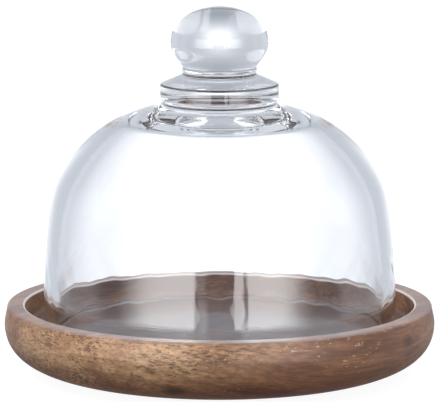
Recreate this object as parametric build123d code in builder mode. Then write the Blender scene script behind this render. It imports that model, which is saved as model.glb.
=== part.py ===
"""Glass bell cover with a solid ball knob, standing in the recess of a turned wooden plate.

Frame: +Z up, origin at the centre of the plate's underside. Everything is round about Z, so each
piece is one half profile, drawn in the XZ plane as (radius, height), turned about Z.
"""

from build123d import *
import os

os.makedirs("parts", exist_ok=True)

# ---- Plate ------------------------------------------------------------------------------------
plate_radius = 90.0          # at the widest part of the side
plate_height = 29.3          # underside to the top of the rim
plate_foot_radius = 55.0     # flat ring and disc that the plate stands on
plate_belly_height = 21.5    # where the side stands upright
rim_flat_radius = 87.8       # where the flat top of the rim ends
rim_outer_round = 1.1
rim_round_start = 5          # degrees above level where the side runs into the rim's rounded corner
recess_radius = 81.4
recess_depth = 9.6
recess_floor_fillet = 2.0
rim_inner_fillet = 0.8

floor_z = plate_height - recess_depth

# ---- Bell cover -------------------------------------------------------------------------------
bell_radius = 73.6           # outside, just above the foot
bell_wall = 5.2              # at the foot; the wall grows thicker towards the crown
bell_upright = 8.0           # height of the straight stretch above the foot
bell_foot_fillet = 1.6
bell_shoulder_radius = 67.6  # outside, where the wall turns in
bell_shoulder_z = 80.5
crown_z = 115.0              # top of the crown, which is the seat of the collar
crown_top_radius = 23.6      # flat top of the crown, inside the rounded underside of the collar
ceiling_z = 104.8            # underside of the solid crown
ceiling_radius = 22.0        # its flat middle

# ---- Collar, neck ring and knob ---------------------------------------------------------------
collar_radius = 24.7
collar_edge_height = 6.9     # upright edge of the disc, measured to the unrounded corner
collar_top_radius = 15.8     # where the cone on top of the disc ends
collar_height = 11.6
collar_edge_fillet = 1.2
neck_radius = 15.1
neck_height = 2.2
neck_bulge = 0.5             # how far the ring stands proud between its two waists
knob_radius = 20.45
knob_upper_height = 14.55    # above the widest part
knob_lower_height = 10.6     # below the widest part, down to the neck ring
knob_fullness = 0.57         # of the top's Bezier quarter: 0.552 would be an ellipse

collar_top_z = crown_z + collar_height
neck_top_z = collar_top_z + neck_height
knob_centre_z = neck_top_z + knob_lower_height
knob_top_z = knob_centre_z + knob_upper_height


# ---- Turned wooden plate ----------------------------------------------------------------------
with BuildPart() as wood_plate:
    with BuildSketch(Plane.XZ):
        with BuildLine():
            Line((0, 0), (plate_foot_radius, 0))
            rim_corner = CenterArc(
                (rim_flat_radius, plate_height - rim_outer_round),
                rim_outer_round,
                rim_round_start,
                90 - rim_round_start,
            )
            Spline(
                (plate_foot_radius, 0),
                (plate_radius * 0.9, plate_height * 0.22),
                (plate_radius * 0.97, plate_height * 0.415),
                (plate_radius, plate_belly_height),
                tangents=((1, 0.2), (0, 1)),
            )
            Spline(
                (plate_radius, plate_belly_height),
                rim_corner @ 0,
                tangents=((0, 1), rim_corner % 0),
            )
            Polyline(
                (rim_flat_radius, plate_height),
                (recess_radius, plate_height),
                (recess_radius, floor_z),
                (0, floor_z),
                (0, 0),
            )
        make_face()
    revolve(axis=Axis.Z)
    recess_circles = wood_plate.edges().filter_by(
        lambda edge: edge.geom_type == GeomType.CIRCLE and abs(edge.radius - recess_radius) < 0.01
    )
    fillet(recess_circles.sort_by(Axis.Z)[-1], rim_inner_fillet)
    recess_corner = wood_plate.edges().filter_by(
        lambda edge: edge.geom_type == GeomType.CIRCLE
        and abs(edge.radius - recess_radius) < 0.01
        and abs(edge.center().Z - floor_z) < 0.01
    )
    fillet(recess_corner, recess_floor_fillet)
wood_plate.part.label = "wood_plate"

# ---- Bell: one blown wall that thickens into a solid crown ------------------------------------
with BuildPart() as glass_dome:
    with BuildSketch(Plane.XZ):
        with BuildLine():
            Line((bell_radius, floor_z), (bell_radius, floor_z + bell_upright))
            Spline(
                (bell_radius, floor_z + bell_upright),
                (bell_radius - 1.6, 58),
                (bell_shoulder_radius, bell_shoulder_z),
                (58.2, 95.2),
                (44.5, 106.0),
                (36.0, 109.6),
                (30.0, 111.3),
                (crown_top_radius + 1.6, crown_z - 2.4),
                (crown_top_radius, crown_z),
                tangents=((0, 1), (-0.4, 1)),
            )
            Polyline(
                (crown_top_radius, crown_z),
                (0, crown_z),
                (0, ceiling_z),
                (ceiling_radius, ceiling_z),
            )
            Spline(
                (ceiling_radius, ceiling_z),
                (33.0, 104.2),
                (39.8, 102.2),
                (45.2, 98.8),
                (54.3, 90.0),
                (62.7, 76.0),
                (66.1, 60.0),
                (bell_radius - bell_wall, floor_z + bell_upright),
                tangents=((1, 0), (0, -1)),
            )
            Polyline(
                (bell_radius - bell_wall, floor_z + bell_upright),
                (bell_radius - bell_wall, floor_z),
                (bell_radius, floor_z),
            )
        make_face()
    revolve(axis=Axis.Z)
    foot_circles = glass_dome.edges().filter_by(
        lambda edge: edge.geom_type == GeomType.CIRCLE and abs(edge.center().Z - floor_z) < 0.01
    )
    fillet(foot_circles, bell_foot_fillet)
glass_dome.part.label = "glass_dome"

# ---- Collar: a thick disc with a cone on top, fused to the crown ------------------------------
with BuildPart() as glass_collar:
    with BuildSketch(Plane.XZ):
        with BuildLine():
            Polyline(
                (0, crown_z),
                (collar_radius, crown_z),
                (collar_radius, crown_z + collar_edge_height),
                (collar_top_radius + 1.6, collar_top_z - 1.6),
            )
            Spline(
                (collar_top_radius + 1.6, collar_top_z - 1.6),
                (neck_radius, collar_top_z),
                tangents=((-1, 0.5), (-0.3, 1)),
            )
            Polyline((neck_radius, collar_top_z), (0, collar_top_z), (0, crown_z))
        make_face()
    revolve(axis=Axis.Z)
    collar_shoulder = glass_collar.edges().filter_by(
        lambda edge: edge.geom_type == GeomType.CIRCLE
        and abs(edge.center().Z - crown_z - collar_edge_height) < 0.01
    )
    fillet(collar_shoulder, collar_edge_fillet)
    collar_underside = glass_collar.edges().filter_by(
        lambda edge: edge.geom_type == GeomType.CIRCLE and abs(edge.center().Z - crown_z) < 0.01
    )
    fillet(collar_underside, collar_radius - crown_top_radius)
glass_collar.part.label = "glass_collar"

# ---- Neck ring: the bead of glass between the collar and the ball -----------------------------
with BuildPart() as glass_neck_ring:
    with BuildSketch(Plane.XZ):
        with BuildLine():
            Line((0, collar_top_z), (neck_radius, collar_top_z))
            ThreePointArc(
                (neck_radius, collar_top_z),
                (neck_radius + neck_bulge, collar_top_z + neck_height / 2),
                (neck_radius, neck_top_z),
            )
            Polyline((neck_radius, neck_top_z), (0, neck_top_z), (0, collar_top_z))
        make_face()
    revolve(axis=Axis.Z)
glass_neck_ring.part.label = "glass_neck_ring"

# ---- Knob: a solid ball, flatter on top and drawn in to the neck ------------------------------
with BuildPart() as glass_knob:
    with BuildSketch(Plane.XZ):
        with BuildLine():
            Line((0, neck_top_z), (neck_radius, neck_top_z))
            Spline(
                (neck_radius, neck_top_z),
                (18.2, knob_centre_z - 6.4),
                (knob_radius, knob_centre_z),
                tangents=((0.7, 1), (0, 1)),
            )
            Bezier(
                (knob_radius, knob_centre_z),
                (knob_radius, knob_centre_z + knob_fullness * knob_upper_height),
                (knob_fullness * knob_radius, knob_top_z),
                (0, knob_top_z),
            )
            Line((0, knob_top_z), (0, neck_top_z))
        make_face()
    revolve(axis=Axis.Z)
glass_knob.part.label = "glass_knob"

export_step(wood_plate.part, "parts/wood_plate.step")
export_step(glass_dome.part, "parts/glass_dome.step")
export_step(glass_collar.part, "parts/glass_collar.step")
export_step(glass_neck_ring.part, "parts/glass_neck_ring.step")
export_step(glass_knob.part, "parts/glass_knob.step")
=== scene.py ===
"""Studio scene for a glass bell cover standing in a turned wooden plate.

Metres, +Z up, origin at the centre of the plate's underside. Every piece is round about Z, so it is
a lathe mesh: an outline of (radius, height) points turned about Z.
"""

import functools
import math

import bmesh
import bpy
import numpy as np
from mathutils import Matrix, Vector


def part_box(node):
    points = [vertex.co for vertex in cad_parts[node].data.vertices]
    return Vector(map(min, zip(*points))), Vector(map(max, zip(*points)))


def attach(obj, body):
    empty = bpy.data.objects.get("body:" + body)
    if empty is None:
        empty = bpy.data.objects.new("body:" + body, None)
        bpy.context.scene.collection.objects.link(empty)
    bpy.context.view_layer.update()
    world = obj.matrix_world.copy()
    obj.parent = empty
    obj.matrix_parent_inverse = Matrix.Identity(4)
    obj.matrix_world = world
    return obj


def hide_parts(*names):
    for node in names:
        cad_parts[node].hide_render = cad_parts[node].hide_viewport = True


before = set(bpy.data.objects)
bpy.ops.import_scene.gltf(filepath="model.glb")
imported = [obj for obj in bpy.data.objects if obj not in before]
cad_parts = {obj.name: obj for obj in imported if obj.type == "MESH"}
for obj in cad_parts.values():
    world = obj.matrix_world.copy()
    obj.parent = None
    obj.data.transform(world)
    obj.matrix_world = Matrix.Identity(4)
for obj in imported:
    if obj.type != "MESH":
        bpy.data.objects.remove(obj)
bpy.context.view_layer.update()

MM = 0.001
TINY = 1e-7     # points nearer than this are one point


# ---- Sizes, read from the CAD frame -------------------------------------------------------------

def top_of(node):
    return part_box(node)[1].z


def radius_of(node):
    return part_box(node)[1].x


plate_radius = radius_of("wood_plate")
plate_height = top_of("wood_plate")
floor_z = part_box("glass_dome")[0].z
crown_z = top_of("glass_dome")
collar_top_z = top_of("glass_collar")
neck_top_z = top_of("glass_neck_ring")
knob_top_z = top_of("glass_knob")
collar_radius = radius_of("glass_collar")
knob_radius = radius_of("glass_knob")
bell_radius = radius_of("glass_dome")

# Sizes that the boxes of the CAD pieces don't give.
recess_radius = 81.4 * MM
bell_wall = 5.2 * MM
crown_top_radius = 23.6 * MM
neck_radius = 15.1 * MM
knob_lower_height = 10.6 * MM
knob_centre_z = neck_top_z + knob_lower_height


# ---- Outlines -----------------------------------------------------------------------------------

def line(start, end, count=2):
    return [tuple(np.array(start) + (np.array(end) - np.array(start)) * t)
            for t in np.linspace(0, 1, count)]


def arc(centre, radius_r, radius_z, start_deg, end_deg, count):
    """Part of an ellipse round centre; 0 degrees points outwards and 90 degrees up."""
    angles = np.radians(np.linspace(start_deg, end_deg, count))
    return [(centre[0] + radius_r * math.cos(a), centre[1] + radius_z * math.sin(a)) for a in angles]


def spline(points, start_way, end_way, count):
    """A smooth curve through points, leaving along start_way and arriving along end_way."""
    points = np.array(points, float)
    steps = np.linalg.norm(np.diff(points, axis=0), axis=1)
    knots = np.concatenate([[0], np.cumsum(steps)])
    size = len(points)
    matrix = np.zeros((size, size))
    right = np.zeros((size, 2))
    matrix[0, 0] = 1
    matrix[-1, -1] = 1
    right[0] = np.array(start_way) / np.linalg.norm(start_way)
    right[-1] = np.array(end_way) / np.linalg.norm(end_way)
    for i in range(1, size - 1):
        matrix[i, i - 1] = steps[i]
        matrix[i, i] = 2 * (steps[i - 1] + steps[i])
        matrix[i, i + 1] = steps[i - 1]
        before = (points[i] - points[i - 1]) / steps[i - 1]
        after = (points[i + 1] - points[i]) / steps[i]
        right[i] = 3 * (steps[i] * before + steps[i - 1] * after)
    slopes = np.linalg.solve(matrix, right)
    curve = []
    for where in np.linspace(0, knots[-1], count):
        i = min(int(np.searchsorted(knots, where, side="right")) - 1, size - 2)
        t = (where - knots[i]) / steps[i]
        curve.append(tuple(
            (2 * t**3 - 3 * t**2 + 1) * points[i]
            + (t**3 - 2 * t**2 + t) * steps[i] * slopes[i]
            + (-2 * t**3 + 3 * t**2) * points[i + 1]
            + (t**3 - t**2) * steps[i] * slopes[i + 1]
        ))
    return curve


def bezier(points, count):
    """A Bezier quarter from the first of four points to the last."""
    curve = []
    for t in np.linspace(0, 1, count):
        weights = ((1 - t)**3, 3 * (1 - t)**2 * t, 3 * (1 - t) * t**2, t**3)
        curve.append(tuple(sum(weight * np.array(point) for weight, point in zip(weights, points))))
    return curve


def rounded(points, radii, count=10):
    """A polyline whose corners are rounded to the given radii; 0 leaves a corner sharp."""
    outline = []
    for i, (corner, radius) in enumerate(zip(points, radii)):
        if radius == 0:
            outline.append(tuple(corner))
            continue
        corner = np.array(corner)
        to_last = np.array(points[i - 1]) - corner
        to_next = np.array(points[i + 1]) - corner
        to_last = to_last / np.linalg.norm(to_last)
        to_next = to_next / np.linalg.norm(to_next)
        half = math.acos(np.dot(to_last, to_next)) / 2
        middle = to_last + to_next
        centre = corner + middle / np.linalg.norm(middle) * radius / math.sin(half)
        first = corner + to_last * radius / math.tan(half) - centre
        last = corner + to_next * radius / math.tan(half) - centre
        sweep = math.pi - 2 * half
        for t in np.linspace(0, 1, count):
            turned = (math.sin((1 - t) * sweep) * first + math.sin(t * sweep) * last) / math.sin(sweep)
            outline.append(tuple(centre + turned))
    return outline


def joined(*stretches):
    """One outline from stretches that meet end to start."""
    outline = []
    for stretch in stretches:
        for point in stretch:
            if not outline or math.dist(point, outline[-1]) > TINY:
                outline.append(point)
    return outline


# ---- Lathe --------------------------------------------------------------------------------------

def lathe(name, outline, segments, seam_slots=(), uneven=None):
    """Turns an outline that starts and ends on the axis, or closes on itself, into a closed mesh.

    seam_slots holds (low z, high z, largest radius, slot): faces inside that band take that slot.
    uneven(radius, height, angle) adds to the radius, for a surface that is not quite round.
    """
    closed = math.dist(outline[0], outline[-1]) < TINY
    points = outline[:-1] if closed else outline
    vertices = []
    rings = []
    for radius, height in points:
        if radius < TINY:
            rings.append([len(vertices)] * segments)
            vertices.append((0.0, 0.0, height))
            continue
        rings.append(list(range(len(vertices), len(vertices) + segments)))
        for k in range(segments):
            angle = 2 * math.pi * k / segments
            out = radius + (uneven(radius, height, angle) if uneven else 0.0)
            vertices.append((out * math.cos(angle), out * math.sin(angle), height))
    faces = []
    slots = []
    count = len(points)
    for i in range(count if closed else count - 1):
        low, high = rings[i], rings[(i + 1) % count]
        here, there = points[i], points[(i + 1) % count]
        slot = 0
        for z0, z1, widest, number in seam_slots:
            if all(z0 <= p[1] <= z1 and p[0] <= widest for p in (here, there)):
                slot = number
        for k in range(segments):
            corners = [low[k], low[(k + 1) % segments], high[(k + 1) % segments], high[k]]
            corners = list(dict.fromkeys(corners))
            if len(corners) > 2:
                faces.append(corners)
                slots.append(slot)
    mesh = bpy.data.meshes.new(name)
    mesh.from_pydata(vertices, [], faces)
    mesh.polygons.foreach_set("material_index", slots)
    mesh.polygons.foreach_set("use_smooth", [True] * len(faces))
    mesh.validate()
    piece = bpy.data.objects.new(name, mesh)
    bpy.context.scene.collection.objects.link(piece)
    return piece


# ---- Materials ----------------------------------------------------------------------------------

def node(tree, kind, inputs=(), **settings):
    """Adds a node; inputs pairs each input's name or number with a value or with a socket to link."""
    made = tree.nodes.new(kind)
    for setting, value in settings.items():
        setattr(made, setting, value)
    for which, value in inputs:
        if isinstance(value, bpy.types.NodeSocket):
            tree.links.new(value, made.inputs[which])
        else:
            made.inputs[which].default_value = value
    return made


def maths(tree, operation, *values, clamp=False):
    made = node(tree, "ShaderNodeMath", enumerate(values), operation=operation, use_clamp=clamp)
    return made.outputs[0]


def total(tree, *values):
    return functools.reduce(lambda one, other: maths(tree, "ADD", one, other), values)


def product(tree, *values):
    return functools.reduce(lambda one, other: maths(tree, "MULTIPLY", one, other), values)


def highest(tree, *values):
    return functools.reduce(lambda one, other: maths(tree, "MAXIMUM", one, other), values)


def vector_maths(tree, operation, *values):
    made = node(tree, "ShaderNodeVectorMath", enumerate(values), operation=operation)
    return made.outputs["Value" if operation == "LENGTH" else "Vector"]


def smooth(tree, value, low, high, from_value=0.0, to_value=1.0):
    """from_value below low, to_value above high, and a soft step between."""
    inputs = [(0, value), (1, low), (2, high), (3, from_value), (4, to_value)]
    return node(tree, "ShaderNodeMapRange", inputs, interpolation_type="SMOOTHSTEP").outputs[0]


def within(tree, value, low, high, soft):
    """1 between low and high, falling softly to 0 over soft on each side."""
    rise = smooth(tree, value, low - soft, low)
    fall = smooth(tree, value, high, high + soft, 1.0, 0.0)
    return product(tree, rise, fall)


def blend(tree, factor, first, second, kind="MIX"):
    """Mixes two colours, each a tuple or a socket."""
    inputs = [("Factor", factor), (6, first), (7, second)]
    return node(tree, "ShaderNodeMix", inputs, data_type="RGBA", blend_type=kind).outputs[2]


def shader_into(tree, shader):
    out = tree.nodes.new("ShaderNodeOutputMaterial")
    tree.links.new(shader, out.inputs["Surface"])


def new_material(name):
    material = bpy.data.materials.new(name)
    material.use_nodes = True
    material.node_tree.nodes.clear()
    return material, material.node_tree


def glass_material():
    """Plain clear glass, which lets shadow and diffuse rays straight through."""
    material, tree = new_material("clear_glass")
    body = node(tree, "ShaderNodeBsdfPrincipled", [
        ("Base Color", (0.985, 0.99, 1.0, 1)),
        ("Roughness", 0.0),
        ("IOR", 1.5),
        ("Transmission Weight", 1.0),
    ])
    clear = node(tree, "ShaderNodeBsdfTransparent", [("Color", (0.93, 0.94, 0.95, 1))]).outputs[0]
    path = tree.nodes.new("ShaderNodeLightPath").outputs
    shader = body.outputs[0]
    for ray in ("Is Diffuse Ray", "Is Shadow Ray"):
        mixed = node(tree, "ShaderNodeMixShader", [(0, path[ray]), (1, shader), (2, clear)])
        shader = mixed.outputs[0]
    shader_into(tree, shader)
    return material


def seam_material():
    """Where two gathers of glass are fused: the glass goes on through, so nothing is seen."""
    material, tree = new_material("fused_seam")
    shader_into(tree, tree.nodes.new("ShaderNodeBsdfTransparent").outputs[0])
    return material


def wood_material():
    """Oiled acacia: reddish heartwood, with golden sapwood at the front left."""
    material, tree = new_material("acacia")
    plus = functools.partial(total, tree)
    minus = functools.partial(maths, tree, "SUBTRACT")
    times = functools.partial(product, tree)
    step = functools.partial(smooth, tree)
    mix = functools.partial(blend, tree)
    vectors = functools.partial(vector_maths, tree)

    heart_pale = (0.215, 0.105, 0.058, 1)
    heart_dark = (0.105, 0.045, 0.026, 1)
    golden_pale = (0.345, 0.210, 0.115, 1)
    golden_dark = (0.200, 0.102, 0.053, 1)
    low_shade_tint = (1.06, 0.88, 0.80, 1)
    no_tint = (1.0, 1.0, 1.0, 1)
    pore_brown = (0.055, 0.024, 0.012, 1)
    wax_haze = (0.18, 0.125, 0.11, 1)
    highlight_pale = (0.85, 0.78, 0.74, 1)
    fleck_pale = (0.58, 0.42, 0.27, 1)

    where = tree.nodes.new("ShaderNodeTexCoord").outputs["Object"]
    place = node(tree, "ShaderNodeSeparateXYZ", [(0, where)]).outputs
    height = place[2]
    level = node(tree, "ShaderNodeCombineXYZ", [(0, place[0]), (1, place[1])]).outputs[0]
    radius = vectors("LENGTH", level)

    # Regions of the plate, each 1 inside and 0 outside.
    rim_top = step(height, plate_height - 1.3 * MM, plate_height - 0.3 * MM)
    recess = times(step(radius, recess_radius + 0.1 * MM, recess_radius - 1.4 * MM),
                   step(height, floor_z - 1.7 * MM, floor_z - 0.7 * MM))
    flank = step(maths(tree, "ABSOLUTE", place[0]), 45 * MM, 72 * MM)
    # The middle of the recess, away from its sides, where more shade is painted.
    middle = times(recess, minus(1.0, flank))
    # The ring of the recess's floor under the bell's foot, where a shadow is painted.
    foot_shadow = times(within(tree, radius, bell_radius - bell_wall, bell_radius, 0.6 * MM), recess)
    # The inner edge of the rim, where a highlight is painted pale.
    edge = times(within(tree, radius, recess_radius, recess_radius + 0.7 * MM, 0.2 * MM),
                 step(height, plate_height - 1.0 * MM, plate_height - 0.5 * MM))
    side = step(radius, 83.5 * MM, 85 * MM)

    def reduced(value, region, share):
        """Takes a share of value away inside region."""
        return times(value, minus(1.0, times(region, share)))

    # The board's own axes: x along the grain, y across it and z up, drifting a little as grain does.
    board = node(tree, "ShaderNodeMapping",
                 [("Vector", where), ("Rotation", (0.02, -0.03, math.radians(136)))]).outputs[0]
    drift = node(tree, "ShaderNodeTexNoise",
                 [("Vector", board), ("Scale", 14.0), ("Detail", 2.0)]).outputs["Color"]
    drift = vectors("MULTIPLY", vectors("SUBTRACT", drift, (0.5, 0.5, 0.5)), (0.02, 0.012, 0.008))
    board = vectors("ADD", board, drift)
    grain = node(tree, "ShaderNodeSeparateXYZ", [(0, board)]).outputs

    def stretched(scale, detail, rough=0.5):
        """Noise with its own number of features per metre along, across and up."""
        squeezed = node(tree, "ShaderNodeMapping", [("Vector", board), ("Scale", scale)]).outputs[0]
        inputs = [("Vector", squeezed), ("Scale", 1.0), ("Detail", detail), ("Roughness", rough)]
        return node(tree, "ShaderNodeTexNoise", inputs).outputs[0]

    def banded(distance, per_metre):
        """Noise that changes only with distance."""
        inputs = [("W", times(distance, per_metre)), ("Scale", 1.0), ("Detail", 2.0)]
        return node(tree, "ShaderNodeTexNoise", inputs, noise_dimensions="1D").outputs[0]

    # Growth rings round a heart far below the board, and the lines that the turning tool left.
    across = minus(grain[1], 20 * MM)
    up = plus(grain[2], 90 * MM)
    rings = banded(maths(tree, "SQRT", plus(times(across, across), times(up, up))), 330.0)
    tool_lines = banded(plus(height, radius), 900.0)
    streaks = stretched((9, 70, 110), 4.0)
    fibres = stretched((45, 480, 900), 4.0, 0.65)
    patches = stretched((10, 22, 60), 3.0)
    pores = stretched((115, 430, 1300), 4.0, 0.65)
    clusters = stretched((22, 50, 90), 3.0)
    lifted = stretched((300, 700, 1400), 2.0)

    # Sapwood reaches further along the grain higher up, and hardly shows on the top of the rim.
    lean = times(minus(height, 16 * MM), 1.1)
    sapwood = step(plus(grain[0], lean), 46 * MM, 83 * MM)
    sapwood = maths(tree, "ADD", sapwood, times(minus(patches, 0.5), 0.9), clamp=True)
    sapwood = reduced(sapwood, rim_top, 0.85)
    sapwood = times(sapwood, step(place[0], -91 * MM, -72 * MM, 0.2, 1.0))
    heartwood = mix(step(streaks, 0.35, 0.72), heart_pale, heart_dark)
    golden = mix(step(streaks, 0.35, 0.75), golden_pale, golden_dark)
    colour = mix(sapwood, heartwood, golden)

    def spot(centre, size, strength):
        """A soft dark spot in the figure."""
        far = vectors("LENGTH", vectors("DIVIDE", vectors("SUBTRACT", where, centre), size))
        return step(plus(far, times(streaks, 0.9)), 0.7, 1.6, 1.0 - strength, 1.0)

    # Shade: the figure, painted shade low down and painted light high up, a small knot and a fleck at
    # the front, and painted shade in the recess.
    shade = times(
        plus(0.66, times(rings, 0.66)),
        plus(0.15, times(fibres, 1.7)),
        plus(0.82, times(tool_lines, 0.36)),
        # Painted shade on the lower side and painted light at the top: darker low down, lighter high
        # up.
        step(height, -4 * MM, 30 * MM, 0.55, 1.28),
        spot((0.0765, -0.046, 0.022), (0.006, 0.006, 0.003), 0.5),
        spot((-0.018, -0.081, 0.009), (0.006, 0.006, 0.004), 0.7))
    # Painted shade in the recess, darkest on its floor.
    shade = reduced(shade, recess, step(height, floor_z + 0.3 * MM, floor_z + 1.8 * MM, 0.55, 0.25))
    # More painted shade in the middle of the recess.
    shade = reduced(shade, middle, 0.3)
    # A painted shadow under the bell's foot.
    shade = reduced(shade, foot_shadow, 0.35)
    grey = node(tree, "ShaderNodeCombineColor", [(0, shade), (1, shade), (2, shade)]).outputs[0]
    # Painted shade: the colour turns darker and redder towards the bottom.
    low_shade = mix(step(height, 3 * MM, 18 * MM), low_shade_tint, no_tint)
    colour = mix(1.0, colour, grey, "MULTIPLY")
    colour = mix(1.0, colour, low_shade, "MULTIPLY")

    # Dark pores, hazy wax at the sides of the recess, a painted highlight along its edge, and small
    # pale flecks.
    pore_depth = times(step(plus(pores, times(clusters, 0.4)), 0.71, 0.82),
                       plus(0.2, times(sapwood, 0.55)))
    flecks = times(step(lifted, 0.64, 0.72), step(clusters, 0.52, 0.62), side, 0.75)
    colour = mix(pore_depth, colour, pore_brown)
    colour = mix(times(recess, flank, 0.4), colour, wax_haze)
    # A painted highlight: a pale line along the rim's inner edge.
    colour = mix(times(edge, 0.7), colour, highlight_pale)
    colour = mix(flecks, colour, fleck_pale)

    # The finish: glossier in the recess and on the rim, whose coat is heaviest at the front.
    relief = minus(times(tool_lines, 0.25), pore_depth)
    bump = node(tree, "ShaderNodeBump",
                [("Height", relief), ("Distance", 0.25 * MM), ("Strength", 0.35)]).outputs[0]
    gloss = highest(tree, recess, step(height, plate_height - 1.1 * MM, plate_height - 0.3 * MM))
    polish = step(maths(tree, "DIVIDE", place[1], radius), -0.85, -0.30, 0.95, 0.45)
    coat = highest(tree, times(recess, 0.4), step(height, 10 * MM, 24 * MM, 0.0, 0.12), edge,
                   times(rim_top, polish))
    body = node(tree, "ShaderNodeBsdfPrincipled", [
        ("Base Color", colour),
        ("Roughness", step(gloss, 0.0, 1.0, 0.5, 0.34)),
        ("Normal", bump),
        ("Specular IOR Level", step(height, 6 * MM, 24 * MM, 0.08, 0.5)),
        ("Coat Weight", coat),
        ("Coat IOR", 1.6),
        ("Coat Roughness", 0.07),
    ])
    shader_into(tree, body.outputs[0])
    return material


glass = glass_material()
seam = seam_material()
wood = wood_material()


# ---- Pieces -------------------------------------------------------------------------------------

def mm(points):
    return [(r * MM, z * MM) for r, z in points]


def plate_outline():
    foot = 55 * MM
    rim_flat = 87.8 * MM
    rim_round = 1.1 * MM
    inner_round = 0.8 * MM
    cove_round = 2 * MM
    belly = (plate_radius, 21.5 * MM)
    corner = arc((rim_flat, plate_height - rim_round), rim_round, rim_round, 5, 90, 10)
    side_points = [
        (foot, 0),
        (plate_radius * 0.9, plate_height * 0.22),
        (plate_radius * 0.97, plate_height * 0.415),
        belly,
    ]
    side = spline(side_points, (1, 0.2), (0, 1), 80)
    upper_side = spline([belly, corner[0]], (0, 1), (-0.087, 1), 10)
    inner = arc((recess_radius + inner_round, plate_height - inner_round), inner_round, inner_round,
                90, 180, 10)
    cove = arc((recess_radius - cove_round, floor_z + cove_round), cove_round, cove_round, 0, -90, 12)
    return joined(
        line((0, 0), (foot, 0), 20), side, upper_side, corner,
        line(corner[-1], inner[0], 6), inner, line(inner[-1], cove[0], 8), cove,
        line(cove[-1], (0, floor_z), 40))


def dome_outline():
    foot_round = 1.6 * MM
    inner_radius = bell_radius - bell_wall
    upright_z = floor_z + 8 * MM
    ceiling_edge = (22 * MM, 104.8 * MM)
    outer_wall = mm([(72.0, 58), (67.6, 80.5), (58.2, 95.2), (44.5, 106.0)])
    crown = mm([(36.0, 109.6), (30.0, 111.3), (25.2, 112.6)])
    inner_wall = mm([(33, 104.2), (39.8, 102.2), (45.2, 98.8), (54.3, 90), (62.7, 76), (66.1, 60)])
    outside = spline([(bell_radius, upright_z)] + outer_wall + crown + [(crown_top_radius, crown_z)],
                     (0, 1), (-0.4, 1), 110)
    inside = spline([ceiling_edge] + inner_wall + [(inner_radius, upright_z)], (1, 0), (0, -1), 120)
    foot_z = floor_z + foot_round
    foot_out = arc((bell_radius - foot_round, foot_z), foot_round, foot_round, -90, 0, 8)
    foot_in = arc((inner_radius + foot_round, foot_z), foot_round, foot_round, 180, 270, 8)
    return joined(
        line((0, ceiling_edge[1]), ceiling_edge, 10), inside, line(inside[-1], foot_in[0], 6),
        foot_in, foot_out, line(foot_out[-1], outside[0], 6), outside,
        line((crown_top_radius, crown_z), (0, crown_z), 10))


def collar_outline():
    under_round = collar_radius - crown_top_radius
    edge_round = 1.2 * MM
    edge_z = crown_z + 6.9 * MM
    cone_end = (17.4 * MM, collar_top_z - 1.6 * MM)
    corners = [(crown_top_radius, crown_z), (collar_radius, crown_z), (collar_radius, edge_z), cone_end]
    edge = rounded(corners, [0, under_round, edge_round, 0])
    return joined(
        line((0, crown_z), edge[0], 10), edge,
        spline([cone_end, (neck_radius, collar_top_z)], (-1, 0.5), (-0.3, 1), 8),
        line((neck_radius, collar_top_z), (0, collar_top_z), 8))


def neck_outline():
    bulge = 0.5 * MM
    half = (neck_top_z - collar_top_z) / 2
    return joined(
        line((0, collar_top_z), (neck_radius, collar_top_z), 8),
        arc((neck_radius, collar_top_z + half), bulge, half, -90, 90, 12),
        line((neck_radius, neck_top_z), (0, neck_top_z), 8))


def knob_outline():
    upper_height = knob_top_z - knob_centre_z
    fullness = 0.57
    lower_points = [
        (neck_radius, neck_top_z),
        (18.2 * MM, knob_centre_z - 6.4 * MM),
        (knob_radius, knob_centre_z),
    ]
    upper_points = [
        (knob_radius, knob_centre_z),
        (knob_radius, knob_centre_z + fullness * upper_height),
        (fullness * knob_radius, knob_top_z),
        (0, knob_top_z),
    ]
    lower = spline(lower_points, (0.7, 1), (0, 1), 40)
    return joined(line((0, neck_top_z), (neck_radius, neck_top_z), 8), lower, bezier(upper_points, 60))


def flip_if_inward(piece):
    """Turns the faces outwards: the signed volume of a closed mesh is positive."""
    work = bmesh.new()
    work.from_mesh(piece.data)
    if work.calc_volume(signed=True) < 0:
        bmesh.ops.reverse_faces(work, faces=work.faces)
    work.to_mesh(piece.data)
    work.free()


# Waves of blown glass, each (waves round the bell, turn per mm of height, start, size in mm).
slow_waves = [(5, 0.05, 0.3, 0.03), (9, -0.07, 2.0, 0.012)]
foot_ripples = [(17, 0.21, 1.9, 0.022), (29, -0.34, 4.1, 0.016), (47, 0.55, 2.6, 0.009)]
waves_start_mm = 22
waves_end_mm = 104
ripples_end_mm = 62


def blown(radius, height, angle):
    """Waves on the inside of the bell, and on both faces of it above the steep part of the wall.

    They are slow all over, with finer ripples low down by the foot.
    """
    steep_outside = bell_radius - 3.5 * MM
    if not 30 * MM < radius < steep_outside or height <= floor_z + 3 * MM:
        return 0.0
    level = height / MM

    def swell(waves):
        return sum(size * math.sin(turns * angle + rise * level + start)
                   for turns, rise, start, size in waves)

    low = max(0.0, min(1.0, (ripples_end_mm - level) / 22))
    fade = max(0.0, min(1.0, (level - waves_start_mm) / 8, (waves_end_mm - level) / 10))
    return (swell(slow_waves) + swell(foot_ripples) * low) * fade * MM


def seam_at(height, radius):
    """The flat faces where two gathers are fused, as lathe takes them, with the second material."""
    hair = 1e-6
    return (height - hair, height + hair, radius + hair, 1)


def add(name, outline, segments, node, body, materials, seams=(), uneven=None):
    piece = lathe(name, outline, segments, seams, uneven)
    for material in materials:
        piece.data.materials.append(material)
    flip_if_inward(piece)
    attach(piece, body)
    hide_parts(node)
    return piece


segments = 256
bell_segments = 384     # more, because the bell's waves need them
crown_seam = seam_at(crown_z, crown_top_radius)
collar_seam = seam_at(collar_top_z, neck_radius)
neck_seam = seam_at(neck_top_z, neck_radius)

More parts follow.
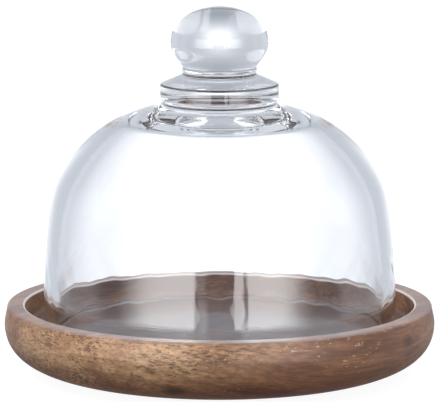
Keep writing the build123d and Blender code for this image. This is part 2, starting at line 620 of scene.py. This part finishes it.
add("plate", plate_outline(), segments, "wood_plate", "base", [wood])
add("bell", dome_outline(), bell_segments, "glass_dome", "cover", [glass, seam],
    [crown_seam], uneven=blown)
add("collar", collar_outline(), segments, "glass_collar", "cover", [glass, seam],
    [crown_seam, collar_seam])
add("neck_ring", neck_outline(), segments, "glass_neck_ring", "cover", [glass, seam],
    [collar_seam, neck_seam])
add("knob", knob_outline(), segments, "glass_knob", "cover", [glass, seam], [neck_seam])


# ---- Studio -------------------------------------------------------------------------------------

def studio_world():
    """A pale studio, set by direction: azimuth 0 is in front of the part, and +90 degrees the right."""
    world = bpy.data.worlds.new("studio")
    bpy.context.scene.world = world
    world.use_nodes = True
    tree = world.node_tree
    tree.nodes.clear()
    plus = functools.partial(total, tree)
    minus = functools.partial(maths, tree, "SUBTRACT")
    times = functools.partial(product, tree)
    step = functools.partial(smooth, tree)

    where = tree.nodes.new("ShaderNodeTexCoord").outputs["Generated"]
    way = node(tree, "ShaderNodeSeparateXYZ", [(0, where)]).outputs
    to_degrees = 180 / math.pi
    azimuth = times(maths(tree, "ARCTAN2", way[0], times(way[1], -1.0)), to_degrees)
    elevation = times(maths(tree, "ARCSINE", way[2]), to_degrees)
    before = maths(tree, "ABSOLUTE", azimuth)
    behind = minus(180.0, before)

    # Rays that go straight through glass see one backdrop in front and behind, and no lights in front.
    path = tree.nodes.new("ShaderNodeLightPath").outputs
    seen_through = times(maths(tree, "LESS_THAN", path["Glossy Depth"], 0.5),
                         maths(tree, "GREATER_THAN", path["Transmission Depth"], 0.5))
    nearer = maths(tree, "MINIMUM", behind, before)
    behind = plus(behind, times(seen_through, minus(nearer, behind)))

    def patch(across, across_range, up_range, soft, strength):
        """A soft-edged rectangle of light, or of shade if negative."""
        return times(within(tree, across, *across_range, soft),
                     within(tree, elevation, *up_range, soft), strength)

    def glow(up_centre, across_width, up_width, strength):
        """A soft round light, or shade if negative, on the backdrop straight behind."""
        across = maths(tree, "DIVIDE", behind, across_width)
        up = maths(tree, "DIVIDE", minus(elevation, up_centre), up_width)
        square = plus(times(across, across), times(up, up))
        return times(maths(tree, "POWER", math.e, times(square, -0.5)), strength)

    def softbox(start, full, fading, end):
        """A bright upright box in front of the part, rising from start to full and fading to end."""
        return times(step(azimuth, start, full), step(azimuth, fading, end, 1.0, 0.0),
                     within(tree, elevation, -14, 22, 2.0), 4.3)

    sideways = maths(tree, "ABSOLUTE", plus(way[0], 0.02))
    overhead = times(within(tree, sideways, 0.22, 0.8, 0.05), step(elevation, 26, 62), 0.9)
    backdrop = plus(
        glow(-5.0, 9.0, 7.5, 0.70),
        glow(-34.0, 17.0, 9.0, -0.25),
        glow(30.0, 18.0, 13.0, -0.17),
        patch(behind, (60, 105), (-60, 60), 15, 0.10),
        overhead,
        step(elevation, -50, -38, -0.13, 0.0))
    front = plus(
        softbox(-73, -46, -17, -15),
        softbox(9, 10, 15.2, 16.2),
        softbox(17.8, 19, 38, 66),
        patch(azimuth, (-62, 62), (-60, 50), 6, 0.15),
        patch(azimuth, (-80, 80), (-26, 20), 14, -0.5))
    light = plus(backdrop, times(front, minus(1.0, seen_through)))
    grey = node(tree, "ShaderNodeCombineXYZ", [(0, light), (1, light), (2, light)]).outputs[0]
    walls = (0.585, 0.62, 0.675)
    colour = vector_maths(tree, "ADD", walls, grey)
    sky = node(tree, "ShaderNodeBackground", [("Color", colour)]).outputs[0]
    out = tree.nodes.new("ShaderNodeOutputWorld")
    tree.links.new(sky, out.inputs[0])
    world.cycles.sampling_method = "MANUAL"
    world.cycles.sample_map_resolution = 1024


def studio_floor():
    """White to the eye, but dim to the light that bounces up on to the plate."""
    material, tree = new_material("white_floor")
    paint = node(tree, "ShaderNodeBsdfDiffuse", [("Color", (0.2, 0.2, 0.2, 1))]).outputs[0]
    glow = node(tree, "ShaderNodeEmission", [("Strength", 0.93)]).outputs[0]
    white = node(tree, "ShaderNodeAddShader", [(0, paint), (1, glow)]).outputs[0]
    dim = node(tree, "ShaderNodeBsdfDiffuse", [("Color", (0.08, 0.07, 0.06, 1))]).outputs[0]
    bounce = tree.nodes.new("ShaderNodeLightPath").outputs["Is Diffuse Ray"]
    shader_into(tree, node(tree, "ShaderNodeMixShader", [(0, bounce), (1, white), (2, dim)]).outputs[0])
    half = 6.0
    corners = [(-half, -half, 0), (half, -half, 0), (half, half, 0), (-half, half, 0)]
    mesh = bpy.data.meshes.new("floor")
    mesh.from_pydata(corners, [], [(0, 1, 2, 3)])
    mesh.materials.append(material)
    floor = bpy.data.objects.new("floor", mesh)
    bpy.context.scene.collection.objects.link(floor)
    floor.visible_glossy = False
    floor.visible_transmission = False


def key_light():
    """A wide soft lamp high on the front left; it models the wood and is not mirrored in the glass."""
    data = bpy.data.lights.new("key", "AREA")
    data.shape = "DISK"
    data.size = 0.7
    data.energy = 7.0
    data.color = (1.0, 0.95, 0.88)
    lamp = bpy.data.objects.new("key", data)
    distance = 1.2
    azimuth = math.radians(-38)
    rise = math.radians(56)
    away = np.array([
        math.sin(azimuth) * math.cos(rise),
        -math.cos(azimuth) * math.cos(rise),
        math.sin(rise),
    ])
    lamp.location = away * distance
    lamp.rotation_euler = (math.pi / 2 - rise, 0, azimuth)
    lamp.visible_glossy = False
    lamp.visible_transmission = False
    lamp.visible_camera = False
    bpy.context.scene.collection.objects.link(lamp)


def camera():
    distance = 1.731
    rise = math.radians(9.2)
    target = np.array([0.0004, 0.0, 0.0724])
    place = target + distance * np.array([0, -math.cos(rise), math.sin(rise)])
    data = bpy.data.cameras.new("camera")
    data.sensor_width = 36
    data.lens = 338.75
    data.clip_start = 0.01
    eye = bpy.data.objects.new("camera", data)
    eye.location = place
    eye.rotation_euler = (math.pi / 2 - rise, 0, 0)
    bpy.context.scene.collection.objects.link(eye)
    bpy.context.scene.camera = eye


studio_world()
studio_floor()
key_light()
camera()

scene = bpy.context.scene
scene.view_settings.view_transform = "Standard"
scene.cycles.max_bounces = 32
scene.cycles.transmission_bounces = 24
scene.cycles.glossy_bounces = 16
scene.cycles.transparent_max_bounces = 32
scene.cycles.caustics_reflective = False
scene.cycles.caustics_refractive = False
